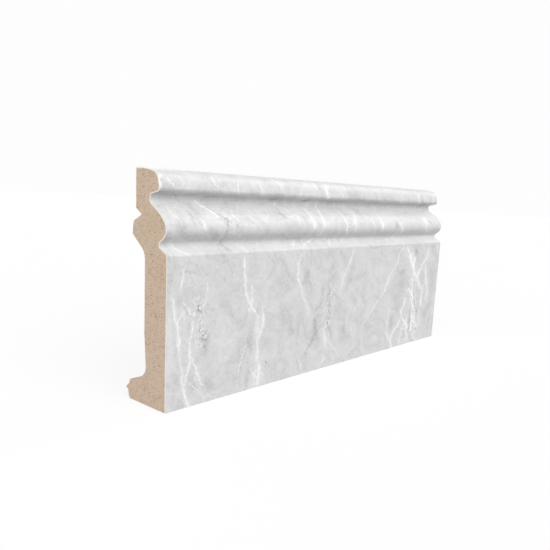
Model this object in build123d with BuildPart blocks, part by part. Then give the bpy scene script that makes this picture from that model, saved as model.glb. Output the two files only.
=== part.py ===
from build123d import *
from math import atan2, tan
import os

# A short length of moulded skirting board, made as a wrapped moulding: one profiled bar of pressed
# wood fibre, with a printed film glued over its face and its top.
#
# Millimetres, +Z up. The board runs along X, its face looks along -Y and its wall side along +Y.
# It stands on Z = 0, with the origin under the middle of its overall box.

# Overall sizes
length = 230.0
height = 100.0
depth = 28.0  # from the finished face to the tip of the wall rib
film = 0.5  # printed film

# Moulding on the face. Each corner has a setback, measured back from the core's face, a drop,
# measured down from the core's top, and the radius that rounds it.
shoulder_drop = 33.8  # upper edge of the tall flat face
shoulder_radius = 1.0
groove_setback = 6.7
groove_drop = 30.1
groove_radius = 1.8
bead_setback = -1.3  # its corner lies in front of the face, its rounded front behind it
bead_drop = 24.3
bead_radius = 4.25
ogee_setback = 4.4
ogee_drop = 17.8
ogee_radius = 5.0
cove_setback = 11.75
cove_drop = 13.1
cove_radius = 2.3
crease_setback = 11.15  # where the cove runs in under the nose
crease_drop = 9.7
crease_radius = 0.8
nose_setback = 5.25
nose_drop = 8.2
nose_radius = 1.1
crown_setback = 6.6
crown_drop = 1.4
crown_radius = 4.6
top_setback = 15.2  # where the crown runs out into the flat top
top_radius = 21.0

# Wall side. A gap is measured in from the tip of the wall rib, a drop down from the board's top.
pad_gap = 6.8  # upper bearing pad
pad_drop = 16.5
pad_radius = 0.4
notch_gap = 10.7  # point of the relief notch under the pad
notch_drop = 19.0
notch_radius = 0.3
belly_gap_high = 5.05  # sloping pad behind the bead
belly_drop_high = 21.9
belly_radius = 0.9
belly_gap_low = 4.35
belly_drop_low = 27.3

# Long recess behind the flat face, which leaves the web, and the foot below it
web = 14.9  # finished face to the back of the web
recess_drop = 34.3  # where the ramp under the belly meets the web
recess_radius = 6.0
taper_start = 31.0  # height over the floor at which the web begins to thin
root_thinning = 1.4  # how much thinner it is at the foot
root_height = 13.5
root_radius = 5.5
heel_gap = 2.2
heel_height = 8.8
heel_radius = 1.8

# Small rib on the heel, which bites against the wall, and the heel's lower edge
rib_high = 7.1
rib_tip = 4.9
rib_low = 4.0
rib_gap = 1.3
rib_land = 0.4  # flat on its tip
sole_gap = 2.0
sole_height = 0.7
sole_land = 3.1  # where the flat sole begins
sole_radius = 0.8

core_face = film
core_top = height - film
core_back = depth - pad_gap

# The crown's run-out is rounded by its radius, or by what the flat behind it has room for
run_out_turn = atan2(crown_drop, top_setback - crown_setback)
run_out_room = 0.9 * (core_back - core_face - top_setback)
run_out_radius = min(top_radius, run_out_room / tan(run_out_turn / 2))

# The section is drawn with its x from the finished face back to the wall and its y up.
section_plane = Plane(origin=(-length / 2, -depth / 2, 0), x_dir=(0, 1, 0), z_dir=(1, 0, 0))

# Face line, from the floor up and over the nose: the corners are rounded by the radii in turn
with BuildLine() as face_line:
    FilletPolyline(
        (core_face, 0),
        (core_face, core_top - shoulder_drop),
        (core_face + groove_setback, core_top - groove_drop),
        (core_face + bead_setback, core_top - bead_drop),
        (core_face + ogee_setback, core_top - ogee_drop),
        (core_face + cove_setback, core_top - cove_drop),
        (core_face + crease_setback, core_top - crease_drop),
        (core_face + nose_setback, core_top - nose_drop),
        (core_face + crown_setback, core_top - crown_drop),
        (core_face + top_setback, core_top),
        (core_back, core_top),
        radius=[
            shoulder_radius,
            groove_radius,
            bead_radius,
            ogee_radius,
            cove_radius,
            crease_radius,
            nose_radius,
            crown_radius,
            run_out_radius,
        ],
    )

# Wall line, from the top down to the floor and back under the sole
with BuildLine() as wall_line:
    FilletPolyline(
        (core_back, core_top),
        (core_back, height - pad_drop),
        (depth - notch_gap, height - notch_drop),
        (depth - belly_gap_high, height - belly_drop_high),
        (depth - belly_gap_low, height - belly_drop_low),
        (web, height - recess_drop),
        (web, taper_start),
        (web - root_thinning, root_height),
        (depth - heel_gap, heel_height),
        (depth - heel_gap, rib_high),
        (depth, rib_tip + rib_land / 2),
        (depth, rib_tip - rib_land / 2),
        (depth - rib_gap, rib_low),
        (depth - sole_gap, sole_height),
        (depth - sole_land, 0),
        (core_face, 0),
        radius=[
            pad_radius,
            notch_radius,
            belly_radius,
            0,
            recess_radius,
            0,
            root_radius,
            heel_radius,
            0,
            0,
            0,
            0,
            sole_radius,
            0,
        ],
    )

# Core: the face line and the wall line close the section, which runs the whole length
with BuildPart() as core:
    with BuildSketch(section_plane):
        with BuildLine():
            add(face_line.line)
            add(wall_line.line)
        make_face()
    extrude(amount=length)

# Film: a skin of even thickness on the face line, from the floor over the nose to the back of the top
with BuildPart() as decor_film:
    with BuildSketch(section_plane):
        with BuildLine():
            add(face_line.line)
            offset(amount=film, side=Side.LEFT)
        make_face()
    extrude(amount=length)

core.part.label = "core"
decor_film.part.label = "decor_film"

os.makedirs("parts", exist_ok=True)
export_step(core.part, "parts/core.step")
export_step(decor_film.part, "parts/decor_film.step")
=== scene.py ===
import bpy
from math import atan2, ceil, cos, pi, radians, sin, tan
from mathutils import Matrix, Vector
from mathutils.kdtree import KDTree


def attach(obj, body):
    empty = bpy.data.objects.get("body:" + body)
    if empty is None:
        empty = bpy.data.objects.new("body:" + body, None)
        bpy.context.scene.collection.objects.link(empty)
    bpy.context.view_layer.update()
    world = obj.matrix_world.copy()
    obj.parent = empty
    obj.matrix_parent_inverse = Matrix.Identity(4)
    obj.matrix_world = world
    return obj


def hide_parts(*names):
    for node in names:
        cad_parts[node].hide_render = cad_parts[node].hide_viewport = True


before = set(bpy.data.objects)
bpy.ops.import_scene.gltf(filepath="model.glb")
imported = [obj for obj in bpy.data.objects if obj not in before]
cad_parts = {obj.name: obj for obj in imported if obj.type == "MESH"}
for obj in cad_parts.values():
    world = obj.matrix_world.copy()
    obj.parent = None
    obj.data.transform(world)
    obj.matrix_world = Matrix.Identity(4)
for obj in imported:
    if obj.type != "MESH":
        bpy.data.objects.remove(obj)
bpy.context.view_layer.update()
mm = 0.001
print("frame loaded:", ", ".join(sorted(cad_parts)))


def tone(red, green, blue):
    # a screen colour, 0 to 255, as the renderer's linear colour
    def straight(level):
        level = level / 255
        return level / 12.92 if level <= 0.04045 else ((level + 0.055) / 1.055) ** 2.4

    return (straight(red), straight(green), straight(blue), 1.0)


def grey(level):
    return tone(level, level, level)


class Wire:
    # one socket of a node tree; a sum on it adds Math nodes
    def __init__(self, tree, socket=None):
        self.tree = tree
        self.socket = socket

    def node(self, kind, settings=None, values=None, output=0):
        made = self.tree.nodes.new(kind)
        for name, value in (settings or {}).items():
            if name == "stops":
                while len(made.color_ramp.elements) < len(value):
                    made.color_ramp.elements.new(1.0)
                for stop, (position, colour) in zip(made.color_ramp.elements, value):
                    stop.position = position
                    stop.color = colour
            elif name in ("curves", "steps"):  # steps have straight runs
                for line, spots in zip(made.mapping.curves, value):
                    line.points[0].location = spots[0]
                    line.points[-1].location = spots[-1]
                    for spot in spots[1:-1]:
                        line.points.new(*spot)
                    for spot in line.points if name == "steps" else ():
                        spot.handle_type = "VECTOR"
                made.mapping.extend = "HORIZONTAL"
                made.mapping.update()
            else:
                setattr(made, name, value)
        for name, value in (values or {}).items():
            if isinstance(value, Wire):
                self.tree.links.new(value.socket, made.inputs[name])
            else:
                made.inputs[name].default_value = value
        return Wire(self.tree, made.outputs[output] if len(made.outputs) else None)

    def maths(self, operation, *terms):
        return self.node("ShaderNodeMath", {"operation": operation}, dict(enumerate(terms)))

    def __add__(self, other):
        return self.maths("ADD", self, other)

    def __sub__(self, other):
        return self.maths("SUBTRACT", self, other)

    def __rsub__(self, other):
        return self.maths("SUBTRACT", other, self)

    def __mul__(self, other):
        return self.maths("MULTIPLY", self, other)

    __radd__ = __add__
    __rmul__ = __mul__

    def larger(self, other):
        return self.maths("MAXIMUM", self, other)

    def ease(self, low, high, start=0.0, end=1.0):
        # goes smoothly from start to end while this value goes from low to high
        return self.node(
            "ShaderNodeMapRange",
            {"interpolation_type": "SMOOTHSTEP", "clamp": False},
            {"Value": self, "From Min": low, "From Max": high, "To Min": start, "To Max": end},
        )

    def easeEach(self, highs, starts):
        # the three parts of this vector, each going smoothly from its start to 0 between 0 and its high
        return self.node(
            "ShaderNodeMapRange",
            {"data_type": "FLOAT_VECTOR", "interpolation_type": "SMOOTHSTEP", "clamp": False},
            {6: self, 7: (0, 0, 0), 8: highs, 9: starts, 10: (0, 0, 0)},
            1,
        )

    def spread(self):
        # a vector with this value three times
        return self.node("ShaderNodeCombineXYZ", None, {0: self, 1: self, 2: self})

    def mixed(self, first, second):
        # this value is the share of the second colour
        return self.node("ShaderNodeMix", {"data_type": "RGBA"}, {0: self, 6: first, 7: second}, 2)

    def vector(self, operation, *terms, output=0):
        return self.node(
            "ShaderNodeVectorMath", {"operation": operation}, dict(enumerate((self, *terms))), output
        )

    def axis(self, name):
        return self.node("ShaderNodeSeparateXYZ", None, {"Vector": self}, name)

    def turned(self, angle, about=(0.0, 0.0, 1.0)):
        values = {"Vector": self, "Axis": about, "Angle": radians(angle)}
        return self.node("ShaderNodeVectorRotate", None, values)

    def laid(self, angle=0.0, stretch=(1.0, 1.0, 1.0), about=(0.0, 0.0, 1.0)):
        # this vector, turned about an axis and then stretched
        return self.turned(angle, about).vector("MULTIPLY", stretch)

    def noise(self, scale, detail=2.0, rough=0.5, warp=0.0, flat=False, output="Fac"):
        return self.node(
            "ShaderNodeTexNoise",
            {"noise_dimensions": "2D" if flat else "3D"},
            {"Vector": self, "Scale": scale, "Detail": detail, "Roughness": rough, "Distortion": warp},
            output,
        )

    def cells(self, scale, feature="F1", flat=False, output="Distance"):
        return self.node(
            "ShaderNodeTexVoronoi",
            {"voronoi_dimensions": "2D" if flat else "3D", "feature": feature},
            {"Vector": self, "Scale": scale},
            output,
        )


def newMaterial(name):
    material = bpy.data.materials.new(name)
    material.use_nodes = True
    material.node_tree.nodes.clear()
    return material, Wire(material.node_tree)


def shade(paint, values):
    shader = paint.node("ShaderNodeBsdfPrincipled", None, values, "BSDF")
    paint.node("ShaderNodeOutputMaterial", None, {"Surface": shader})


def bumped(height, strength, depth):
    # a normal from a height; the depth is in millimetres
    values = {"Strength": strength, "Distance": depth * mm, "Height": height}
    return height.node("ShaderNodeBump", None, values)


def selectNone():
    if bpy.context.mode != "OBJECT":
        bpy.ops.object.mode_set(mode="OBJECT")
    bpy.ops.object.select_all(action="DESELECT")


# Camera, where the photograph was taken from
view = {
    "place": (-0.26117, -0.20421, 0.0915),
    "turn": (79.423, -2.857, -48.43),
    "lens": 39.069,
    "sensor": 36.0,
    "shift": (-0.0182, 0.0582),
}
selectNone()
bpy.ops.object.camera_add(location=view["place"], rotation=[radians(angle) for angle in view["turn"]])
camera = bpy.context.active_object
camera.name = "camera"
camera.data.lens = view["lens"]
camera.data.sensor_width = view["sensor"]
camera.data.shift_x, camera.data.shift_y = view["shift"]
camera.data.clip_start = 0.01
bpy.context.scene.camera = camera
bpy.context.scene.view_settings.view_transform = "Standard"
print("camera placed")


# Soft lamps. Azimuth 0 is straight in front of the face, -90 in front of the cut end.
studio = {
    "lamps": {
        "key": {"azimuth": -8, "height": 40, "power": 1.85, "size": 56},
        "front": {"azimuth": -10, "height": 0, "power": 0.86, "size": 50},
        "side": {"azimuth": -86, "height": 6, "power": 2.2, "size": 40},
        "sheen": {"azimuth": 80, "height": 38, "power": 0.25, "size": 14},  # a streak along the mouldings
        "rear": {"azimuth": 165, "height": 4, "power": 1.2, "size": 50},
    },
    "ambient": 0.36,
    "backdrop": 0.985,
    "floorTone": 0.31,  # what the floor throws back at the board
    "floorShadow": 0.14,  # how much of the board's shadow shows on the white
    "floorSize": 12.0,
}
floorLight = studio["ambient"]  # what falls on the open floor, so that it shows as pale as the backdrop
for name, lamp in studio["lamps"].items():
    across, up = radians(lamp["azimuth"]), radians(lamp["height"])
    source = Vector((sin(across) * cos(up), -cos(across) * cos(up), sin(up)))
    selectNone()
    bpy.ops.object.light_add(type="SUN", location=source, rotation=source.to_track_quat("Z", "Y").to_euler())
    sun = bpy.context.active_object
    sun.name = name + "Lamp"
    sun.data.energy = lamp["power"]
    sun.data.angle = radians(lamp["size"])
    floorLight += lamp["power"] * sin(up) / pi

world = bpy.data.worlds.new("studio")
bpy.context.scene.world = world
world.use_nodes = True
world.node_tree.nodes.clear()
sky = Wire(world.node_tree)


def directRay(paint):
    # 1 where a surface is seen by the camera, in a reflection or through glass
    seen = paint.node("ShaderNodeLightPath", output="Is Camera Ray")
    for ray in ("Is Glossy Ray", "Is Transmission Ray"):
        seen = seen.larger(paint.node("ShaderNodeLightPath", output=ray))
    return seen


strength = studio["ambient"] + (studio["backdrop"] - studio["ambient"]) * directRay(sky)
background = sky.node("ShaderNodeBackground", None, {"Color": (1, 1, 1, 1), "Strength": strength})
sky.node("ShaderNodeOutputWorld", None, {"Surface": background})

floorMaterial, paint = newMaterial("paleFloor")
dull = paint.node("ShaderNodeBsdfDiffuse", None, {"Color": (studio["floorTone"],) * 3 + (1,)})
lit = paint.node("ShaderNodeBsdfDiffuse", None, {"Color": (studio["backdrop"] / floorLight,) * 3 + (1,)})
white = paint.node("ShaderNodeEmission", None, {"Color": (1, 1, 1, 1), "Strength": studio["backdrop"]})
seenFloor = paint.node("ShaderNodeMixShader", None, {0: studio["floorShadow"], 1: white, 2: lit})
surface = paint.node("ShaderNodeMixShader", None, {0: directRay(paint), 1: dull, 2: seenFloor})
paint.node("ShaderNodeOutputMaterial", None, {"Surface": surface})

selectNone()
bpy.ops.mesh.primitive_plane_add(size=studio["floorSize"])
floor = bpy.context.active_object
floor.name = "floor"
floor.data.materials.append(floorMaterial)
print("studio lit")


# The board's section, in millimetres: in from the finished face, up from the floor, corner radius.
section = {
    "length": 230.0,
    "depth": 28.0,
    "faceLine": [  # of the core, under the film, from the floor over the nose to the back of the top
        (0.5, 0.0, 0), (0.5, 65.7, 1.0), (7.2, 69.4, 1.8), (-0.8, 75.2, 4.25), (4.9, 81.7, 5.0),
        (12.25, 86.4, 2.3), (11.65, 89.8, 0.8), (5.75, 91.3, 1.1), (7.1, 98.1, 4.6), (15.7, 99.5, 21.0),
        (21.2, 99.5, 0),
    ],
    "wallLine": [  # on from there, down the wall side and back under the sole
        (21.2, 83.5, 0.4), (17.3, 81.0, 0.3), (22.95, 78.1, 0.9), (23.65, 72.7, 0), (14.9, 65.7, 6.0),
        (14.9, 31.0, 0), (13.5, 13.5, 5.5), (25.8, 8.8, 1.8), (25.8, 7.1, 0), (28.0, 5.1, 0), (28.0, 4.7, 0),
        (26.7, 4.0, 0), (26.0, 0.7, 0.8), (24.9, 0.0, 0), (0.5, 0.0, 0),
    ],
    "arcStep": 6.0,  # degrees
    "leastSteps": 4,  # in a small arc
    "holdStrip": 0.3,  # narrow strip beside each rounding, which keeps the flats flat
    "stations": 23,  # bays along the length
}


def layLine(corners, skin=0.0):
    # the runs and arcs through rounded corners, and how long a skin on them is at each point
    here, reached = Vector(corners[0][:2]), 0.0
    moves, marks = [], [(here, reached)]
    hold = section["holdStrip"]
    for number in range(1, len(corners)):
        target, radius = Vector(corners[number][:2]), corners[number][2]
        along = (target - here).normalized()
        if radius:
            leaving = (Vector(corners[number + 1][:2]) - target).normalized()
            turn = atan2(along.cross(leaving), along.dot(leaving))
            target = target - along * radius * tan(abs(turn) / 2)
        run = (target - here).length
        for cut in (hold, run - hold, run) if run > 4 * hold else (run,):
            moves.append(("run", here + along * cut))
            marks.append((here + along * cut, reached + cut))
        here, reached = target, reached + run
        if radius:
            side = 1 if turn > 0 else -1
            centre = here + Vector((-along.y, along.x)) * radius * side
            steps = max(section["leastSteps"], ceil(abs(turn) / radians(section["arcStep"])))
            moves.append(("arc", centre, turn, steps))
            spoke = here - centre
            for step in range(1, steps + 1):
                c, s = cos(turn * step / steps), sin(turn * step / steps)
                rim = centre + Vector((spoke.x * c - spoke.y * s, spoke.x * s + spoke.y * c))
                marks.append((rim, reached + abs(turn) * (radius - skin * side) * step / steps))
            here, reached = marks[-1]
    return moves, marks


def inRow(spot, along):
    # a point of the section at a place along the board, in metres
    return Vector((along, spot.x - section["depth"] / 2, spot.y)) * mm


def drawLine(name, start, moves, along):
    # one vertex is drawn out along the runs and spun round the arcs
    selectNone()
    bpy.ops.mesh.primitive_plane_add(size=mm, location=inRow(start, along))
    piece = bpy.context.active_object
    piece.name = piece.data.name = name
    bpy.ops.object.transform_apply(location=True, rotation=True, scale=True)
    bpy.ops.object.mode_set(mode="EDIT")
    bpy.ops.mesh.select_mode(type="VERT")
    bpy.ops.mesh.select_all(action="SELECT")
    bpy.ops.mesh.merge(type="CENTER")
    here = start
    for move in moves:
        if move[0] == "run":
            bpy.ops.mesh.extrude_region_move(
                TRANSFORM_OT_translate={"value": inRow(move[1], 0) - inRow(here, 0)}
            )
            here = move[1]
        else:
            centre, turn, steps = move[1:]
            bpy.ops.mesh.spin(
                steps=steps, angle=-turn, center=inRow(centre, along), axis=(1, 0, 0), use_auto_merge=False
            )
            spoke, c, s = here - centre, cos(turn), sin(turn)
            here = centre + Vector((spoke.x * c - spoke.y * s, spoke.x * s + spoke.y * c))
    return piece


def drawOut(start, end, bays):
    for bay in range(bays):
        bpy.ops.mesh.extrude_region_move(TRANSFORM_OT_translate={"value": ((end - start) / bays * mm, 0, 0)})


# Pressed-fibre bar
core = {
    "easing": 0.12,  # broken edge round the cut ends
    "weld": 0.01,
    "endFacing": 0.9,  # a face is a cut end when its normal lies this much along the board
    "smoothAngle": 22.0,
}
end = section["length"] / 2
outline = section["faceLine"] + section["wallLine"]
moves = layLine(outline)[0]
coreBar = drawLine("coreBar", Vector(outline[0][:2]), moves, core["easing"] - end)
bpy.ops.mesh.select_all(action="SELECT")
bpy.ops.mesh.remove_doubles(threshold=core["weld"] * mm)
bpy.ops.mesh.edge_face_add()
drawOut(core["easing"] - end, end - core["easing"], section["stations"])
bpy.ops.mesh.select_all(action="SELECT")
bpy.ops.mesh.normals_make_consistent(inside=False)
bpy.ops.mesh.select_mode(type="FACE")
bpy.ops.mesh.select_all(action="DESELECT")
bpy.ops.object.mode_set(mode="OBJECT")
for face in coreBar.data.polygons:
    face.select = abs(face.normal.x) > core["endFacing"]
bpy.ops.object.mode_set(mode="EDIT")
bpy.ops.mesh.inset(thickness=core["easing"] * mm, depth=core["easing"] * mm, use_even_offset=True)
bpy.ops.object.mode_set(mode="OBJECT")
bpy.ops.object.shade_smooth_by_angle(angle=radians(core["smoothAngle"]))
print("core bar:", len(coreBar.data.polygons), "faces")


# Printed film, a skin of even thickness on the bar's face line
film = {
    "thickness": 0.5,
    "smoothAngle": 30.0,
}
moves, marks = layLine(section["faceLine"], film["thickness"])
marbleFilm = drawLine("marbleFilm", Vector(section["faceLine"][0][:2]), moves, -end)
bpy.ops.mesh.select_all(action="SELECT")
drawOut(-end, end, section["stations"])
bpy.ops.object.mode_set(mode="OBJECT")
if marbleFilm.data.polygons[0].normal.y > 0:  # the skin has to grow away from the bar
    bpy.ops.object.mode_set(mode="EDIT")
    bpy.ops.mesh.select_all(action="SELECT")
    bpy.ops.mesh.flip_normals()
    bpy.ops.object.mode_set(mode="OBJECT")

# The print follows the wrap: its map holds the place along the board and the wrapped length, in metres
wrapped = KDTree(len(marks))
for number, (spot, reached) in enumerate(marks):
    wrapped.insert(inRow(spot, 0), number)
wrapped.balance()
wrapMap = marbleFilm.data.uv_layers.new(name="wrap")
for loop in marbleFilm.data.loops:
    place = marbleFilm.data.vertices[loop.vertex_index].co
    number = wrapped.find((0, place.y, place.z))[1]
    wrapMap.data[loop.index].uv = (place.x, marks[number][1] * mm)

filmMaterial, paint = newMaterial("marblePrint")
edgeMaterial, edgePaint = newMaterial("cutFilmEdge")
marbleFilm.data.materials.append(filmMaterial)
marbleFilm.data.materials.append(edgeMaterial)
bpy.context.view_layer.objects.active = marbleFilm
skin = marbleFilm.modifiers.new("skin", "SOLIDIFY")
skin.thickness = film["thickness"] * mm
skin.offset = 1
skin.use_even_offset = True
skin.material_offset_rim = 1
bpy.ops.object.modifier_apply(modifier="skin")
bpy.ops.object.shade_smooth_by_angle(angle=radians(film["smoothAngle"]))
print("marble film:", len(marbleFilm.data.polygons), "faces")


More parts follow.
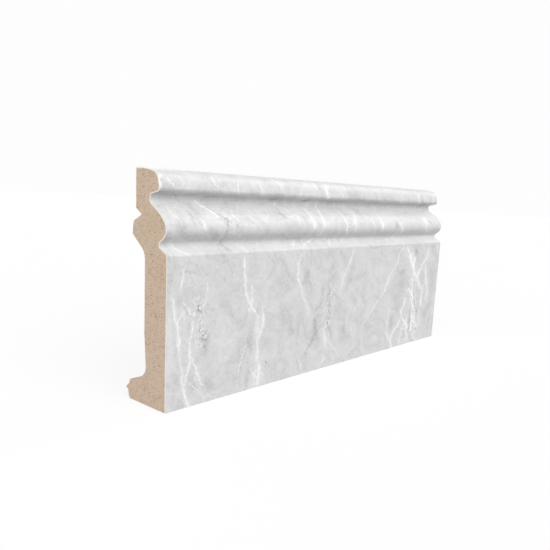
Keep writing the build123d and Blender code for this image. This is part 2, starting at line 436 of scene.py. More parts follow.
# The marble print, in millimetres on the wrap map: along the board, up the wrapped face
marble = {
    "levels": [(0.0, grey(112)), (0.25, grey(178)), (0.5, grey(216)), (0.75, grey(236)), (1.0, grey(252))],
    # three noises: share in the level, turn, stretch, then scale, detail, roughness and warp
    "cloud": (0.34, 37, 0.8, (0.085, 4.0, 0.55, 1.2)),
    "mottle": (0.26, -32, 0.7, (0.32, 5.0, 0.66, 1.6)),
    "grain": (0.19, 40, 0.45, (1.2, 3.0, 0.65, 1.0)),
    # how the veins wander: scale and reach
    "bend": (0.28, 2.2),
    "kink": (0.8, 0.9),
    "splinter": (2.4, 0.35),
    "tangle": (0.3, 4.5),
    "thinness": (1.1, 0.58),  # by turns thinner and wider than drawn
    "veinGain": (0.9, 1.45),
    "holeShare": 0.65,  # of the pits that is left to round holes
    "darkGain": 0.9,
    "faintest": 0.35,  # what is left of a dark mark between the holes
    "webStrength": 0.6,
    "fineWeb": 0.75,
    "pitStrength": 0.34,
    "roughness": (0.33, 0.4),
    "specular": 0.14,
    "relief": (0.6, 0.15),  # shares of the soft waves and the fine grit in the bump
    "bump": (0.05, 0.1),  # strength and depth
    "span": 120.0,  # the veins' curves reach this far each way along the board
    "rise": 128.0,  # and this far up the wrap
    "fade": 1.2,
    "glowReach": 4.5,  # how many half widths a vein's pale surround is wide
    "outside": 1.2,  # a place past the curves' range of -1 to 1
    # more noises: scale, detail, roughness and warp
    "patchy": (0.6, 3.0, 0.6),
    "flicker": (0.45, 3.0, 0.6),
    "gaps": (0.4, 3.0, 0.6),
    "pitting": (0.7, 3.0, 0.65, 0.5),
    "waves": (0.9, 3.0, 0.5),
    "grit": (6.0, 2.0, 0.5),
    # cells to the millimetre, and where a line or a hole in them ends
    "wideNet": (0.28, 0.08),
    "fineNet": (0.62, 0.12),
    "holes": (0.9, 0.42),
    # half width, strength, surround, then the line upwards: along, up, share of the strength
    "veins": [
        (0.34, 0.50, 0.3, [(-102.8, 1, 1), (-104.7, 5, 0.9), (-106.1, 10, 0.5), (-106.8, 17, 0.6),
                           (-108.2, 24, 0.7), (-108.6, 31, 1), (-109.4, 37, 0.9), (-110.8, 39.5, 0.8),
                           (-111.4, 46, 1), (-112.2, 48, 0.8)]),
        (0.28, 0.40, 0.3, [(-109.6, 50, 0.2), (-108, 52.6, 0.8), (-106.4, 59.3, 0.7)]),
        (0.24, 0.42, 0.2, [(-109.4, 36, 0.1), (-109.2, 37.4, 0.9), (-107, 41.5, 0.9), (-105.6, 43.5, 0.3)]),
        (0.28, 0.50, 0.2, [(-106, 9.6, 0.5), (-104.5, 13, 0.8), (-103, 18, 1), (-102.2, 23, 1),
                           (-102.6, 26.5, 0.7), (-102, 32, 0.9), (-101.2, 35.5, 0.8), (-100.9, 38, 0.3)]),
        (0.26, 0.52, 0.2, [(-95.2, 8.6, 0.7), (-97.6, 13, 1), (-99.5, 17.4, 1), (-102.2, 23, 0.6)]),
        (0.20, 0.36, 0, [(-93.7, 2.2, 0.7), (-98.4, 6.8, 0.8), (-102, 10.3, 1)]),
        (0.18, 0.34, 0, [(-89.3, 1, 0.8), (-92.4, 4.4, 1), (-95.6, 9.2, 0.6)]),
        (0.20, 0.34, 0, [(-94.2, 33, 0.5), (-94.6, 38, 0.7), (-95.6, 42.5, 0.9), (-93.9, 47.5, 1),
                         (-94.2, 56, 0.8)]),
        (0.16, 0.26, 0, [(-87.8, 49.5, 0.5), (-92.8, 54.5, 0.8), (-96, 57.6, 0.9), (-103, 61.5, 0.7)]),
        (0.15, 0.24, 0, [(-95, 21.2, 0.7), (-99, 22.6, 0.7), (-103, 24.6, 0.8), (-106.2, 27, 0.6)]),
        (0.16, 0.26, 0, [(-97.4, 15.6, 0.5), (-99.6, 19.2, 0.8), (-101.7, 21.5, 0.6)]),
        (0.16, 0.26, 0, [(-100.2, 25.4, 0.6), (-99, 29, 0.8), (-98.3, 33, 0.7)]),
        (0.16, 0.26, 0, [(-104.8, 30, 0.8), (-107.8, 32.6, 0.8)]),
        (0.30, 0.34, 0, [(-101.8, 43, 0.8), (-104.6, 44.2, 1), (-106.8, 46.4, 0.4)]),
        (0.30, 0.50, 0.3, [(-61.6, 35, 0.6), (-63.9, 38, 0.8), (-66.8, 40.6, 1), (-69.2, 45, 0.8),
                            (-70.7, 49.5, 0.9), (-70.8, 54, 1), (-71.6, 58, 0.9), (-71.9, 63.6, 0.4)]),
        (0.20, 0.28, 0, [(-56.4, 39.5, 0.3), (-59.4, 42, 0.7), (-63.3, 45.7, 0.8), (-66.7, 50, 0.9)]),
        (0.9, 0.22, 0, [(-64.6, 38.6, 0.5), (-66.4, 41.4, 1), (-66, 45, 0.6), (-66.8, 50.4, 0.7)]),
        (0.34, 0.56, 0.4, [(-60, 1.2, 1), (-59.7, 6.8, 0.8), (-59.5, 10.6, 1), (-60.9, 14, 0.5),
                          (-60.9, 18.4, 0.6), (-61.4, 23, 0.7), (-58.8, 28, 0.8), (-57.8, 32.5, 1),
                          (-58.8, 39, 0.4)]),
        (1.2, 0.16, 0.3, [(-61.5, 0.6, 0.8), (-62.6, 4, 0.9), (-61.6, 10, 0.6), (-61.9, 20, 0.7),
                          (-61.4, 28, 0.9), (-61.5, 34, 0.2)]),
        (0.24, 0.36, 0, [(-63.4, 4.6, 0.6), (-61.4, 8, 0.9), (-59.6, 11, 0.6)]),
        (0.24, 0.34, 0, [(-68.2, 1.6, 0.7), (-70.8, 4.2, 0.9), (-70.2, 6.4, 0.3)]),
        (0.22, 0.44, 0, [(-73.9, 2, 0.3), (-73.5, 8, 0.6), (-71.9, 14.4, 1), (-70.4, 17.8, 0.8),
                         (-69.5, 21, 0.7), (-68.1, 28.4, 0.4)]),
        (0.24, 0.22, 0, [(-58, 37.4, 0.6), (-55.6, 40.6, 0.9), (-53.6, 41.6, 0.4)]),
        (0.34, 0.33, 0.35, [(-23.3, 32.3, 0.4), (-26.7, 37.9, 0.7), (-29.2, 41.8, 0.8), (-30.8, 46.2, 0.9),
                            (-33.3, 50.1, 1), (-33.6, 55.7, 1), (-33.6, 59.6, 0.9), (-31.2, 64, 0.5)]),
        (0.8, 0.16, 0, [(-33.4, 49, 0.6), (-34.2, 54, 1), (-33.4, 58, 0.5)]),
        (0.3, 0.22, 0, [(-34, 44.2, 0.9), (-37.6, 47.8, 0.8), (-39.4, 50, 0.2)]),
        (0.14, 0.20, 0, [(-12.8, 39.6, 0.7), (-17.8, 43.6, 0.9), (-22.8, 47.9, 0.6)]),
        (0.28, 0.30, 0.2, [(-6.6, 38.6, 0.4), (-4.6, 41.4, 1), (-5.2, 43, 0.7), (-6.6, 45.2, 0.8)]),
        (0.2, 0.24, 0, [(-1.6, 44, 0.6), (-4.2, 41.8, 0.9)]),
        (0.26, 0.34, 0.35, [(6.1, 4, 0.3), (-0.3, 10.1, 0.7), (-3.3, 12.9, 0.7), (-8.3, 17.3, 0.9),
                            (-9.4, 21.2, 0.7), (-8.3, 23.4, 1), (-8.6, 26.8, 0.6)]),
        (1.6, 0.14, 0, [(-7, 11, 0.6), (-8.4, 16, 1), (-10, 22, 0.6)]),
        (0.5, 0.34, 0.3, [(-12.9, 2.4, 0.7), (-10.6, 3.2, 0.7), (-8.9, 4.2, 1), (-9.6, 7.4, 0.5)]),
        (0.4, 0.30, 0.2, [(-28.6, 2.4, 0.3), (-28.2, 5.4, 1), (-29.6, 7.6, 0.4)]),
        (0.34, 0.30, 0.3, [(6.4, 51.2, 0.5), (8.3, 54, 0.9), (11.1, 59, 1), (13.5, 63.8, 0.9)]),
        (1.1, 0.18, 0.2, [(2.8, 38, 0.3), (3.9, 45.7, 0.8), (5.9, 50.6, 1), (8.6, 54.6, 0.4)]),
        (0.5, 0.14, 0, [(21.4, 38, 0.4), (22.4, 41.4, 1), (24.4, 44.4, 0.3)]),
        (0.32, 0.34, 0.35, [(13.9, 3.4, 0.15), (19.4, 7.9, 0.2), (26.7, 16.8, 0.3), (28.3, 21.2, 0.4),
                            (32.2, 23.4, 0.6), (38.9, 30.1, 0.8), (46.7, 35.7, 0.9), (48.9, 39, 1),
                            (52.2, 45.1, 0.9), (56.1, 49.6, 0.8), (60, 53.4, 1), (62.8, 60.1, 0.8),
                            (67.8, 64.4, 1)]),
        (0.2, 0.16, 0, [(66.4, 49.6, 0.4), (60.4, 52.8, 0.9)]),
        (0.9, 0.62, 0.3, [(81.9, 47.4, 0.8), (80, 51.2, 1), (77.8, 54.6, 0.9), (76.1, 58.4, 0.9),
                          (72.8, 61.8, 0.8), (71.4, 63.6, 0.5)]),
        (1.5, 0.56, 0, [(82.2, 49, 0.8), (81.2, 51.4, 1), (81.8, 54.4, 0.8), (81.9, 56.6, 0.5)]),
        (0.5, 0.44, 0, [(77, 57, 0.6), (78.3, 60, 1), (78.8, 61.4, 0.4)]),
        (0.8, 0.56, 0.3, [(94.2, 34.8, 0.4), (91.4, 37, 0.8), (89.6, 39.4, 1), (87.8, 42.3, 1),
                          (84.8, 45, 0.8), (82.6, 47.2, 0.5)]),
        (0.7, 0.44, 0.3, [(87.4, 42.3, 0.8), (88.2, 46.2, 1), (91.6, 49.4, 0.8)]),
        (0.6, 0.60, 0.3, [(92.4, 51.4, 0.9), (94.6, 53.2, 1), (97.2, 55.3, 1), (98, 57.8, 0.7),
                          (100, 62, 0.3)]),
        (0.6, 0.50, 0.2, [(77.4, 41.6, 0.7), (80.6, 42.6, 1), (82.4, 46.8, 0.6)]),
        (0.8, 0.44, 0.3, [(83.3, 30.1, 0.6), (82.3, 34.6, 1), (81.5, 40, 0.8), (81.3, 44.6, 0.6)]),
        (1.1, 0.62, 0.2, [(83.8, 28.6, 0.7), (82.8, 31.2, 1), (80.6, 34, 1), (77.6, 36, 0.9)]),
        (0.7, 0.50, 0.2, [(87.4, 21.4, 0.8), (84.6, 25, 1), (82.6, 27.2, 0.9), (80.8, 29.2, 0.8)]),
        (0.2, 0.26, 0, [(75, 36.2, 0.8), (72, 38.4, 0.8), (70, 41, 0.8)]),
        (0.45, 0.40, 0, [(88.8, 21.8, 0.7), (88.2, 25.8, 0.9), (86.8, 30, 0.9), (85.7, 34.8, 0.6)]),
        (0.4, 0.40, 0.2, [(70, 22.8, 0.4), (70.8, 21.8, 0.8), (70.4, 24, 0.3)]),
        (0.8, 0.40, 0.4, [(101.4, 26.6, 0.4), (101.8, 34.6, 0.8), (99.4, 40.7, 1), (97.8, 45.7, 0.8),
                          (97.1, 51, 0.6)]),
        (1.1, 0.40, 0.3, [(94.8, 23.6, 0.5), (95, 27.4, 1), (95.6, 34.6, 0.6), (96, 39, 0.2)]),
        (1.0, 0.22, 0.3, [(95.2, 11, 0.6), (93.8, 16, 0.7), (93.2, 21.4, 0.8)]),
        (0.45, 0.50, 0.3, [(60.3, 4.6, 0.5), (61.1, 8.4, 0.6), (67.2, 14, 0.8), (70.4, 17.6, 0.7),
                           (71.1, 19.6, 0.6), (70, 22.6, 0.9), (72.8, 26.8, 1), (74.4, 30.4, 0.7)]),
        (0.18, 0.28, 0, [(70, 22.6, 0.8), (65.4, 27.9, 0.7), (65, 31.6, 0.5)]),
        (0.45, 0.50, 0.3, [(62.2, 1.2, 1), (59.6, 4.4, 0.8), (54.6, 9.8, 0.5)]),
        (0.9, 0.16, 0, [(53.2, 10.6, 0.6), (53.9, 15.8, 1), (54.8, 20, 0.4)]),
        (0.8, 0.16, 0, [(55, 22, 0.5), (55.7, 25, 1), (54.9, 29, 0.3)]),
        (0.7, 0.64, 0.3, [(79.2, 10.4, 1), (78.8, 12.2, 0.9), (76.2, 14.8, 1), (73.2, 17.2, 0.9)]),
        (0.5, 0.46, 0, [(77.6, 14.4, 0.7), (77.9, 17.6, 0.9), (78.6, 19.6, 0.5)]),
        (0.32, 0.42, 0.2, [(70.4, 2, 0.9), (71.8, 6.6, 0.7), (72.8, 9.8, 0.8), (76.4, 10.6, 1),
                           (79.4, 11.1, 0.8)]),
        (0.5, 0.36, 0.2, [(80.8, 1.4, 0.9), (79.3, 5.8, 0.8), (77.2, 9.4, 0.4)]),
        (1.1, 0.56, 0.2, [(84.8, 8.4, 0.9), (84.6, 11.6, 1), (84.3, 17.4, 0.7), (84.6, 20.6, 0.4)]),
        (0.9, 0.50, 0.2, [(91.6, 9.4, 0.6), (90.4, 12.2, 0.9), (87.3, 13.5, 1), (88.3, 19.6, 0.7)]),
        (0.7, 0.36, 0.2, [(92.4, 0.8, 0.9), (89.4, 2.6, 0.8), (88.8, 5.6, 0.4)]),
        (0.5, 0.40, 0, [(82.6, 2, 0.6), (80.4, 5.4, 0.8), (81, 8.4, 0.4)]),
        # over the groove, the moulding and the nose
        (0.5, 0.50, 0.3, [(-21.8, 80.4, 1), (-21.6, 82.4, 1), (-21, 88, 0.7), (-20.6, 94, 0.5)]),
        (0.4, 0.42, 0.3, [(-15.6, 76.4, 0.5), (-14.4, 80, 0.8), (-12.9, 83.6, 1), (-11.4, 89.4, 0.8),
                          (-9, 95.6, 0.8), (-8, 99.4, 0.5)]),
        (0.45, 0.42, 0.3, [(8.2, 76.4, 0.5), (6.6, 79, 1), (6.7, 82, 1), (7, 86, 0.7), (5.2, 90.6, 0.4)]),
        (0.4, 0.26, 0, [(5, 90.2, 0.5), (7.4, 92.4, 0.9), (7.2, 96.4, 0.7), (6.2, 98.6, 0.4)]),
        (0.5, 0.36, 0.3, [(14.6, 78.6, 0.6), (15.2, 82.6, 1), (16.6, 85.6, 0.8), (18.6, 88.6, 0.6),
                          (20.2, 92.6, 0.4)]),
        (0.5, 0.22, 0.3, [(32.4, 81.6, 0.6), (34.2, 85.4, 0.9), (36.8, 90, 0.6)]),
        (1.5, 0.30, 0.2, [(42.6, 78.8, 0.7), (42.6, 82, 1), (42.8, 86, 0.5), (43, 90, 0.2)]),
        (0.8, 0.46, 0.3, [(66.4, 77, 0.9), (64.6, 79.4, 1), (63, 81.6, 1), (62.4, 83.4, 0.3)]),
        (1.3, 0.26, 0.2, [(97.8, 77.4, 0.6), (94.4, 80.6, 0.9), (95.2, 84, 0.8), (97, 88, 0.3)]),
        (1.0, 0.15, 0.3, [(-34, 82, 0.4), (-32.2, 87.6, 1), (-34.6, 91.4, 0.8), (-34.4, 95.6, 0.6)]),
        (0.5, 0.30, 0.3, [(-40.4, 93.6, 0.4), (-41.3, 96.6, 1), (-40.2, 98.8, 0.4)]),
        (1.0, 0.40, 0.2, [(-85.4, 86.6, 0.5), (-87, 90, 0.9), (-90, 94.4, 1), (-92, 96.6, 0.5)]),
        (0.9, 0.36, 0.2, [(-94.8, 80.6, 0.5), (-95, 82.4, 1), (-94.6, 84.6, 0.3)]),
        (0.3, 0.46, 0, [(-72.6, 77.2, 0.5), (-77.4, 77.9, 0.7), (-79.8, 78.8, 1), (-80.6, 79.6, 0.5)]),
        (0.3, 0.34, 0, [(-66.4, 81.2, 0.7), (-70.2, 82, 1), (-71.6, 83.6, 0.5)]),
        (0.5, 0.24, 0, [(-74.4, 84.6, 0.6), (-75.6, 87.6, 1), (-74.6, 90.4, 0.5)]),
        (0.4, 0.30, 0.2, [(-69.8, 91.6, 0.5), (-67.4, 94.4, 1), (-66.4, 96.4, 0.8)]),
        (0.45, 0.28, 0.2, [(-106.8, 83, 0.4), (-107.8, 86, 1), (-109.4, 90, 0.7), (-109, 93, 0.3)]),
        (0.6, 0.24, 0, [(-58, 85, 0.3), (-54.6, 86.6, 0.9), (-52.6, 88.6, 0.5)]),
        (0.4, 0.26, 0, [(-98.6, 91, 0.5), (-99.6, 94.4, 1), (-99, 96.6, 0.5)]),
        (0.35, 0.40, 0.3, [(-29.6, 67.4, 0.6), (-26.6, 69.4, 0.8), (-23.4, 70.8, 1), (-16.6, 72.8, 0.8)]),
        (0.35, 0.36, 0.2, [(-37.4, 68, 0.7), (-34.6, 70.2, 0.8), (-32.8, 71.8, 1)]),
        (0.4, 0.40, 0.2, [(-7, 67.8, 0.7), (-5.6, 69.4, 1), (-3.6, 71.6, 0.8)]),
        (0.35, 0.24, 0, [(4.8, 69, 0.7), (6.8, 70.6, 1), (9, 72.4, 0.6)]),
        (0.8, 0.20, 0, [(59, 67.6, 0.5), (66.6, 70.8, 0.9), (69.6, 72.2, 0.3)]),
        (0.4, 0.26, 0.3, [(-70.4, 65.4, 0.6), (-71.4, 68.4, 0.9), (-74.8, 72.6, 0.4)]),
        (0.4, 0.26, 0.3, [(-104.8, 66, 0.5), (-108, 70, 0.9), (-110.6, 74.6, 0.7)]),
        (0.5, 0.56, 0.3, [(-5.6, 104.2, 0.9), (-6.5, 106.6, 1), (-6.8, 110, 0.9), (-6.6, 113, 0.4)]),
        (0.35, 0.50, 0, [(7.6, 107.9, 1), (5.4, 108.4, 0.8), (3.2, 109.2, 0.5)]),
        (0.6, 0.26, 0, [(-15.6, 108.6, 0.4), (-16.2, 111, 0.9), (-15.4, 113, 0.4)]),
        (0.5, 0.40, 0, [(-107.6, 106.6, 0.6), (-109.2, 108.4, 1), (-110.8, 109.4, 0.5)]),
        (0.9, 0.46, 0, [(-114.4, 106.2, 0.6), (-114.8, 108, 1), (-113.6, 110.6, 0.5)]),
        (0.4, 0.40, 0, [(-83.6, 106.8, 0.6), (-85.2, 108.4, 1), (-86.6, 111, 0.7)]),
        (0.5, 0.30, 0, [(-82.2, 110, 0.5), (-83.2, 111.4, 1), (-84.2, 112.4, 0.5)]),
        (0.4, 0.30, 0.2, [(-71.4, 104.6, 0.6), (-72, 107.6, 1), (-71.2, 110.6, 0.6)]),
        (0.5, 0.34, 0, [(-43.2, 108.6, 0.6), (-44, 110.6, 1), (-47, 112.6, 0.9)]),
        (0.5, 0.28, 0.2, [(-56, 104.4, 0.8), (-56.4, 107, 1), (-57.4, 110.6, 0.5)]),
        (1.0, 0.30, 0, [(91.6, 104.8, 0.7), (91, 108, 1), (91.4, 110.4, 0.4)]),
        (0.6, 0.24, 0, [(98.6, 105, 0.4), (98, 107, 0.9), (99.4, 109.2, 0.6)]),
    ],
    "darkVeins": [
        (0.45, 0.42, 0.3, [(-25, 9, 0.3), (-23.9, 12.4, 1), (-21.4, 14.8, 1), (-19.4, 17, 1),
                           (-17.8, 19.6, 0.9), (-17.6, 22.6, 0.4), (-18.6, 25.4, 0.6), (-17.2, 29, 0.9),
                           (-14.6, 31.6, 0.4), (-9.6, 36, 0.7), (-7.4, 40.4, 0.8), (-6.4, 42.6, 0.7)]),
        (0.5, 0.50, 0.3, [(-2.8, 15.1, 0.5), (-3.9, 19.6, 0.7), (-7.2, 24.3, 0.9), (-6, 29, 0.5),
                          (-6.6, 32.4, 1), (-6.4, 34, 0.8), (-6.2, 41.2, 0.4)]),
        (0.4, 0.44, 0.4, [(-79.4, 66.6, 0.6), (-81.4, 70, 0.8), (-82.8, 75.7, 0.8), (-82.2, 80, 1),
                          (-81.6, 85, 1), (-83.4, 87.4, 0.9), (-86, 91, 0.8), (-88.4, 94.4, 0.5)]),
        (0.35, 0.40, 0.2, [(-61.4, 80, 0.4), (-64, 82, 0.7), (-67.4, 84.6, 1), (-69.2, 86, 0.8),
                           (-71, 87.4, 0.4)]),
        (0.45, 0.30, 0.4, [(-43.4, 88.4, 0.8), (-42.4, 92, 0.9), (-40.9, 96.4, 0.6)]),
        (0.3, 0.34, 0, [(-99.4, 95.8, 0.6), (-102.4, 98, 0.9), (-107.4, 103.4, 0.6)]),
        (0.3, 0.26, 0, [(-69.4, 92.6, 0.5), (-66.6, 95.2, 0.9), (-66.2, 96.6, 0.9), (-68.6, 98.8, 0.6)]),
        (0.5, 0.30, 0.3, [(-46.4, 97.6, 0.5), (-50.6, 96.4, 1), (-53.4, 95.6, 0.4)]),
        (0.4, 0.24, 0, [(-11.9, 92.8, 0.6), (-9.9, 95.4, 0.9), (-9, 97, 0.5)]),
        (0.3, 0.22, 0, [(-90.4, 85, 0.5), (-93, 88.6, 0.9), (-92.6, 91, 0.5)]),
        (0.3, 0.30, 0, [(-107.8, 105.4, 0.7), (-107.2, 108, 0.9), (-109.6, 110.2, 0.6)]),
        (0.35, 0.30, 0, [(-81, 109.6, 0.5), (-81.8, 111, 1), (-85.6, 111.8, 0.8)]),
        (0.35, 0.24, 0, [(-70.6, 106, 0.5), (-70.8, 110.4, 0.9)]),
        (0.3, 0.24, 0, [(-39.2, 107, 0.5), (-39.6, 109, 0.9), (-41, 111.6, 0.4)]),
        (0.5, 0.24, 0, [(-4.2, 106.4, 0.5), (-3.6, 109.4, 0.9), (-4, 112, 0.7)]),
        (0.4, 0.34, 0, [(-5.4, 68.4, 0.6), (-3.4, 70.6, 1), (-1.6, 72.6, 0.8)]),
        (0.6, 0.26, 0, [(77, 67.6, 0.5), (81.6, 69.6, 0.8), (85.4, 71.4, 1), (87, 72.4, 0.5)]),
        (0.6, 0.22, 0, [(100.8, 67.6, 0.5), (107, 69.2, 1), (111, 70.6, 0.6)]),
        (0.3, 0.26, 0.4, [(-73.4, 5, 0.5), (-70.9, 14, 0.6), (-68.9, 21, 0.9), (-67.2, 28, 0.6)]),
        (0.26, 0.42, 0, [(-40, 2.9, 0.5), (-49.4, 6.8, 0.8), (-54.4, 11.2, 1), (-55.6, 15.6, 0.5)]),
        (0.28, 0.46, 0, [(-28.3, 2.3, 0.8), (-31.1, 7.3, 1), (-33.9, 11.2, 0.7), (-37, 16, 0.3)]),
        (0.45, 0.50, 0.3, [(90.6, 18.6, 0.8), (89.2, 22.4, 0.9), (87.2, 25.7, 1), (85.6, 29.6, 1),
                           (84.2, 33, 0.9), (83.6, 37.9, 0.5), (83.4, 43, 0.5)]),
        (0.3, 0.40, 0, [(81.2, 47.8, 0.7), (85, 48.4, 0.9), (92.2, 50.4, 0.8)]),
        (0.7, 0.40, 0.2, [(81.4, 8.4, 0.6), (82, 15.4, 1), (81.8, 21.4, 0.8), (81, 25, 0.3)]),
        (0.3, 0.28, 0, [(90.2, 13.6, 0.8), (91.6, 6.4, 0.9), (93.2, 3.4, 0.5)]),
        (0.35, 0.30, 0, [(-94, 24, 0.6), (-95.6, 29, 0.9), (-97.2, 34, 0.9), (-96.8, 38, 0.5)]),
        (0.3, 0.36, 0, [(-97.6, 40.4, 0.7), (-98.6, 42.6, 1), (-97.2, 45.4, 0.8)]),
        (0.3, 0.30, 0, [(-103.2, 39.4, 0.5), (-105, 42.4, 0.9), (-107.4, 45.6, 0.7)]),
    ],
    "patches": [  # middle, reach, lean in degrees, step in level
        ((-5, 50), (7, 15), 20, -0.07), ((-17, 22), (6, 14), 30, -0.09), ((-27, 53), (4, 7), 10, -0.09),
        ((66, 33), (8, 26), 18, -0.08), ((82, 14), (4, 8), -8, -0.12), ((12, 52), (4, 9), 20, -0.07),
        ((59, 17), (4, 7), 10, -0.16), ((-94, 27), (4, 10), 0, -0.12), ((-98, 60), (9, 4), 0, -0.06),
        ((102, 17), (4, 6), 0, -0.14), ((108, 34), (6, 20), 0, -0.05), ((-114, 26), (4, 24), 0, 0.10),
        ((-84, 26), (8, 20), 0, 0.05), ((-67, 44), (5, 8), -30, 0.07), ((-62, 30), (4, 8), 0, 0.08),
        ((33, 29), (16, 7), -28, 0.05), ((87, 46), (8, 8), -35, 0.05), ((-37, 24), (4, 5), 0, -0.14),
        ((8.6, 21), (1.8, 6), 0, -0.10), ((83, 60), (4, 3), 0, -0.16), ((18, 35), (5, 4), -30, -0.08),
        ((76, 42), (4, 5), 0, -0.05), ((-28, 54), (3, 4), 0, -0.04), ((-101, 8), (5, 5), 0, -0.10),
        ((-36, 88), (7, 8), 0, 0.03), ((-92, 8), (5, 6), 0, -0.10), ((-65.5, 22), (2, 8), 0, -0.07),
        ((-80.6, 85), (3, 2.6), 0, -0.09), ((-76.3, 82.2), (1.6, 2), 0, -0.16),
        ((-107, 83), (4, 6), 0, -0.1), ((-42.2, 87.4), (2.4, 2.8), 0, -0.14),
        ((-81, 68), (3.5, 2.6), 0, -0.13), ((-95.4, 95), (2, 2.6), 20, -0.13),
        ((-19, 100.4), (4, 4), -30, -0.2), ((58.8, 82.2), (3.8, 4), 0, -0.2),
        ((101.6, 83.8), (1.6, 3.4), 0, -0.2), ((26.6, 91), (3.4, 3.4), 0, -0.08),
        ((11.6, 84.2), (2, 2), 0, -0.12), ((-100.2, 86), (1.4, 7), 0, -0.12), ((96, 84), (6, 5), 0, 0.05),
        ((-12.8, 110.2), (2.6, 3), 0, -0.12), ((68.4, 105), (4, 1.4), 0, 0.14),
        ((-57, 86), (6, 5), 0, 0.06), ((-74, 96), (3, 4), 0, -0.08), ((11.6, 102), (3, 3), -30, -0.1),
        ((-43, 100), (3.4, 4), -30, -0.12), ((58, 110), (8, 4), 0, -0.05), ((22, 109), (5, 3), 0, -0.07),
        # The last five entries, 400 mm long, are painted light and painted shade: three lighter and two
        # darker bands the whole length of the board along the nose, lip, cove wall and groove.
        ((-27.6, 85), (3, 5), 0, -0.08), ((98, 38), (18, 34), 0, -0.05), ((0, 110), (400, 3.5), 0, 0.08),
        ((0, 105), (400, 3), 0, -0.06), ((0, 101), (400, 3.4), 0, -0.10), ((0, 95.5), (400, 3), 0, 0.10),
        ((0, 69), (400, 3.5), 0, 0.08),
    ],
    "crackles": [  # middle, reach, strength
        ((-100, 42), (10, 9), 1.0), ((-96, 31), (6, 12), 1.0), ((-104, 55), (9, 7), 0.4),
        ((-82, 87), (19, 10), 0.45), ((-66, 41), (6, 8), 1.0), ((-60, 7), (7, 8), 1.0),
        ((-36, 90), (9, 8), 0.4), ((84, 44), (10, 14), 0.8), ((76, 8), (10, 10), 1.0),
        ((88, 10), (7, 10), 0.9), ((-8, 30), (7, 11), 0.7), ((-105, 108), (10, 4), 0.4),
        ((-78, 108), (12, 4), 0.4), ((-62, 26), (5, 14), 0.7), ((-101, 16), (9, 14), 0.45),
        ((-44, 109), (6, 4), 0.3), ((84, 26), (7, 10), 0.8), ((-68, 82), (9, 4), 0.6),
    ],
    "pits": [  # dark mottling: middle, reach, strength
        ((-98, 41), (8, 7), 1.0), ((-94.5, 29), (5, 10), 1.0), ((-92, 10), (7, 6), 0.3),
        ((-16, 27), (7, 11), 0.7), ((-7, 32), (4, 11), 0.7), ((-103, 60), (8, 4), 0.5),
        ((-67, 26), (4, 12), 0.4), ((-82, 84), (8, 8), 0.7), ((-66, 4), (7, 5), 0.5),
        ((-7, 60), (4, 7), 0.4), ((83, 34), (5, 12), 0.6), ((78, 6), (8, 7), 0.8), ((88, 8), (6, 9), 0.8),
        ((-67, 84), (7, 4), 0.6), ((-110, 108), (6, 3), 0.5), ((-78, 109), (8, 3), 0.5),
    ],
}


def veinMask(lines, across, height, thinness):
    # the strongest vein at a point. Three at a time share a node with the curves of their places up the
    # face and one with the curves of their strengths, all in the range -1 to 1.
    total = None
    for first in range(0, len(lines), 3):
        group = lines[first:first + 3]
        group = group + group[-1:] * (3 - len(group))
        places, powers, sizes, halos = [], [], [], []
        for halfWidth, strength, halo, line in group:
            line = sorted(line, key=lambda point: point[1])
            ups = [up / marble["rise"] * 2 - 1 for side, up, share in line]
            places.append([(up, point[0] / marble["span"]) for up, point in zip(ups, line)])
            power = [(up, point[2] * strength) for up, point in zip(ups, line)]
            fade = marble["fade"] / marble["rise"] * 2
            start, stop = (-marble["outside"], 0.0), (marble["outside"], 0.0)
            powers.append([start, (ups[0] - fade, 0.0)] + power + [(ups[-1] + fade, 0.0), stop])
            sizes.append(halfWidth)
            halos.append(halo)
        place = height.node("ShaderNodeVectorCurve", {"curves": places}, {"Vector": height})
        power = height.node("ShaderNodeVectorCurve", {"steps": powers}, {"Vector": height})
        gap = across.vector("SUBTRACT", place.vector("MULTIPLY", (marble["span"],) * 3)).vector("ABSOLUTE")
        gap = gap.vector("MULTIPLY", thinness)
        mask = gap.easeEach(sizes, (1, 1, 1))
        if any(halos):
            reaches = [size * marble["glowReach"] for size in sizes]
            mask = mask.vector("MAXIMUM", gap.easeEach(reaches, halos))
        mask = mask.vector("MULTIPLY", power)
        total = mask if total is None else total.vector("MAXIMUM", mask)
    return total.axis("X").larger(total.axis("Y")).larger(total.axis("Z"))


def blot(spot, middle, reach, lean=0.0):
    # 1 in the middle of an oval patch, 0 at its rim
    turned = spot.turned(lean) if lean else spot
    c, s = cos(radians(lean)), sin(radians(lean))
    centre = (c * middle[0] - s * middle[1], s * middle[0] + c * middle[1])
    shrink = (1 / reach[0], 1 / reach[1], 0.0)
    off = turned.vector("MULTIPLY_ADD", shrink, (-centre[0] * shrink[0], -centre[1] * shrink[1], 0.0))
    return off.vector("LENGTH", output="Value").ease(0.1, 1.0, 1.0, 0.0)


def blots(spot, places):
    # the strongest of several patches at a point
    total = None
    for middle, reach, strength in places:
        here = blot(spot, middle, reach) * strength
        total = here if total is None else total.larger(here)
    return total


def layer(spot, name):
    # a turned and stretched noise about 0, and its share in the level
    share, turn, stretch, look = marble[name]
    return spot.laid(turn, (stretch, 1.0, 1.0)).noise(*look, flat=True) - 0.5, share


def shifts(spot, scale, reach):
    # a wandering offset, up to about half of reach each way
    wander = spot.noise(scale, 2.0, 0.55, flat=True, output="Color")
    return wander.vector("SUBTRACT", (0.5, 0.5, 0.5)).vector("MULTIPLY", (reach, reach, 0))


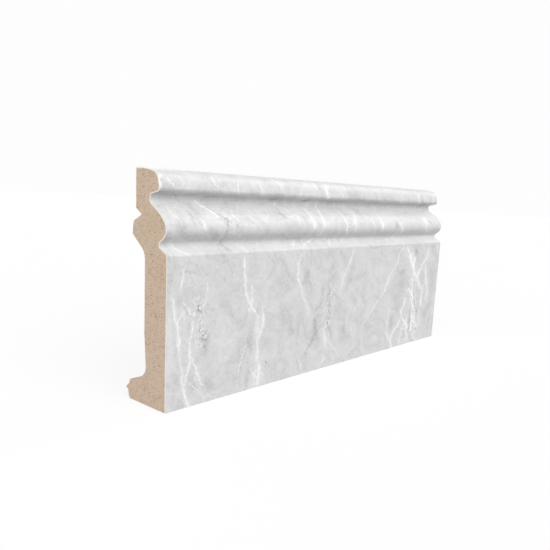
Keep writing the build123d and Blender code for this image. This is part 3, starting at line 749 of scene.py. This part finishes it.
wrap = paint.node("ShaderNodeUVMap", {"uv_map": "wrap"})
spot = wrap.vector("MULTIPLY", (1 / mm, 1 / mm, 0))
bend = shifts(spot, *marble["bend"])
kink = shifts(spot, *marble["kink"])
splinter = shifts(spot, *marble["splinter"])
stirred = spot.vector("ADD", bend).vector("ADD", kink).vector("ADD", splinter)
height = (stirred.axis("Y") * (2 / marble["rise"]) - 1.0).spread()
across = stirred.axis("X").spread()
patchy = spot.noise(*marble["patchy"], flat=True)
thinness = patchy.ease(0.35, 0.65, *marble["thinness"]).spread()
white = veinMask(marble["veins"], across, height, thinness)
white = white * spot.noise(*marble["flicker"], flat=True).ease(0.3, 0.55, *marble["veinGain"])
dark = veinMask(marble["darkVeins"], across, height, thinness)

cloud, cloudShare = layer(spot, "cloud")
mottle, mottleShare = layer(spot, "mottle")
grain, grainShare = layer(spot, "grain")
level = 0.5 + cloud * cloudShare + mottle * mottleShare + grain * grainShare
# The patches are marks of the print, except the five lengthwise bands at the end of the list, which are
# painted light and painted shade along the mouldings.
for middle, reach, lean, step in marble["patches"]:
    level = level + blot(stirred, middle, reach, lean) * step

# Crackle: two nets of fine broken lines, and dark pits between them, only in the troubled places
tangled = spot.vector("ADD", shifts(spot, *marble["tangle"])).vector("ADD", kink).vector("ADD", splinter)
scale, rim = marble["wideNet"]
wide = tangled.cells(scale, "DISTANCE_TO_EDGE", flat=True).ease(0.0, rim, 1.0, 0.0)
scale, rim = marble["fineNet"]
fine = tangled.laid(30, (1.0, 0.6, 1)).cells(scale, "DISTANCE_TO_EDGE", flat=True).ease(0.0, rim, 1.0, 0.0)
broken = spot.noise(*marble["gaps"], flat=True).ease(0.4, 0.56)
web = wide.larger(fine * marble["fineWeb"]) * broken * blots(stirred, marble["crackles"])
web = web * marble["webStrength"]
scale, rim = marble["holes"]
holes = tangled.cells(scale, flat=True).ease(0.12, rim, 1.0, 0.0)
pitted = spot.laid(15, (1.0, 0.6, 1)).noise(*marble["pitting"], flat=True).ease(0.48, 0.66)
pitted = pitted * (marble["faintest"] + holes * marble["holeShare"]) * blots(stirred, marble["pits"])
pitted = pitted * marble["pitStrength"]
dark = dark * (marble["faintest"] + holes * marble["darkGain"])

level = level + white.larger(web) - dark - pitted
colour = level.node("ShaderNodeValToRGB", {"stops": marble["levels"]}, {"Fac": level})
smoothness = mottle.ease(-0.2, 0.2, *marble["roughness"])
waves, grit = spot.noise(*marble["waves"], flat=True), spot.noise(*marble["grit"], flat=True)
relief = waves * marble["relief"][0] + grit * marble["relief"][1]
bump = bumped(relief, *marble["bump"])
shade(paint, {
    "Base Color": colour,
    "Roughness": smoothness,
    "Normal": bump,
    "Specular IOR Level": marble["specular"],
})

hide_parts("decor_film")
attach(marbleFilm, "root")


# Cut edge of the film: pale, a little torn by the saw
filmEdge = {
    "colours": (tone(246, 240, 233), tone(232, 223, 212)),
    "roughness": 0.7,
    "bump": (0.3, 0.05),  # strength and depth
}
spot = edgePaint.node("ShaderNodeTexCoord", output="Object")
spot = spot.vector("MULTIPLY", (1 / mm,) * 3)
torn = spot.noise(1.6, 3.0, 0.6).ease(0.4, 0.7)
ragged = spot.noise(5.0, 2.0, 0.5)
bump = bumped(ragged, *filmEdge["bump"])
colour = torn.mixed(*filmEdge["colours"])
shade(edgePaint, {"Base Color": colour, "Roughness": filmEdge["roughness"], "Normal": bump})


# Pressed fibre: pinkish and yellowish tan with round grains, short strands and saw marks
fibre = {
    "tans": (tone(206, 184, 165), tone(201, 180, 156)),
    "shade": tone(180, 157, 134),
    "rind": tone(214, 197, 179),
    "grains": (tone(138, 109, 88), tone(104, 76, 60)),
    "strand": tone(152, 122, 98),
    "scratch": tone(214, 197, 178),
    "roughness": 0.86,
    "specular": 0.25,
    "noises": {  # scale, detail, roughness and warp
        "patches": (0.17, 3.0, 0.6, 0.6),
        "clouds": (0.42, 4.0, 0.65, 0.4),
        "meal": (1.9, 4.0, 0.72),
        "sawn": (0.8, 3.0, 0.6),
        "milled": (2.2, 3.0, 0.6),
    },
    # how strongly each of these covers what lies under it
    "cover": {"clouds": 0.6, "meal": 0.6, "rind": 0.5, "grain": 0.85, "dark": 0.9, "strand": 0.6,
              "sawn": 0.45},
    # cells to the millimetre, size in millimetres, share of the cells, channel
    "paleGrains": (0.75, 0.34, 0.48, "X"),
    "darkGrains": (0.5, 0.26, 0.5, "Y"),
    "strands": (0.6, 0.36, 0.5, "Z"),
    "apart": (7.3, 3.1, 5.7),  # moves the dark grains off the pale ones
    "heights": {"meal": 0.5, "milled": 0.35, "grain": 0.4, "dark": 0.6},
    "bump": (0.35, 0.12),  # strength and depth
}
cover, heights, noises = fibre["cover"], fibre["heights"], fibre["noises"]
fibreMaterial, paint = newMaterial("pressedFibre")
coreBar.data.materials.append(fibreMaterial)
spot = paint.node("ShaderNodeTexCoord", output="Object").vector("MULTIPLY", (1 / mm,) * 3)
patches = spot.noise(*noises["patches"])
colour = patches.ease(0.38, 0.62).mixed(*fibre["tans"])
clouds = spot.noise(*noises["clouds"])
colour = (clouds.ease(0.5, 0.72) * cover["clouds"]).mixed(colour, fibre["shade"])
meal = spot.noise(*noises["meal"])
colour = (meal.ease(0.5, 0.72) * cover["meal"]).mixed(colour, fibre["shade"])
colour = (meal.ease(0.5, 0.28) * cover["rind"]).mixed(colour, fibre["rind"])


def grains(spot, scale, size, share, channel):
    # round grains of a size in millimetres, in a share of the cells
    near = spot.cells(scale).ease(size * scale * 0.5, size * scale, 1.0, 0.0)
    return near * spot.cells(scale, output="Color").axis(channel).ease(1 - share, 1.02 - share)


grainMask = grains(spot, *fibre["paleGrains"])
colour = (grainMask * cover["grain"]).mixed(colour, fibre["grains"][0])
darkMask = grains(spot.vector("ADD", fibre["apart"]), *fibre["darkGrains"])
colour = (darkMask * cover["dark"]).mixed(colour, fibre["grains"][1])
strandMask = grains(spot.laid(35, (1.0, 0.3, 1.0), (1.0, 0.0, 0.0)), *fibre["strands"])
colour = (strandMask * cover["strand"]).mixed(colour, fibre["strand"])
sawn = spot.laid(52, (1.0, 3.2, 0.12), (1.0, 0.0, 0.0)).noise(*noises["sawn"])
colour = (sawn.ease(0.58, 0.74) * cover["sawn"]).mixed(colour, fibre["scratch"])

milled = spot.vector("MULTIPLY", (0.03, 1.0, 1.0)).noise(*noises["milled"])
height = meal * heights["meal"] + milled * heights["milled"]
height = height - grainMask * heights["grain"] - darkMask * heights["dark"]
bump = bumped(height, *fibre["bump"])
shade(paint, {
    "Base Color": colour,
    "Roughness": fibre["roughness"],
    "Normal": bump,
    "Specular IOR Level": fibre["specular"],
})

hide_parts("core")
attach(coreBar, "root")
print("materials made")
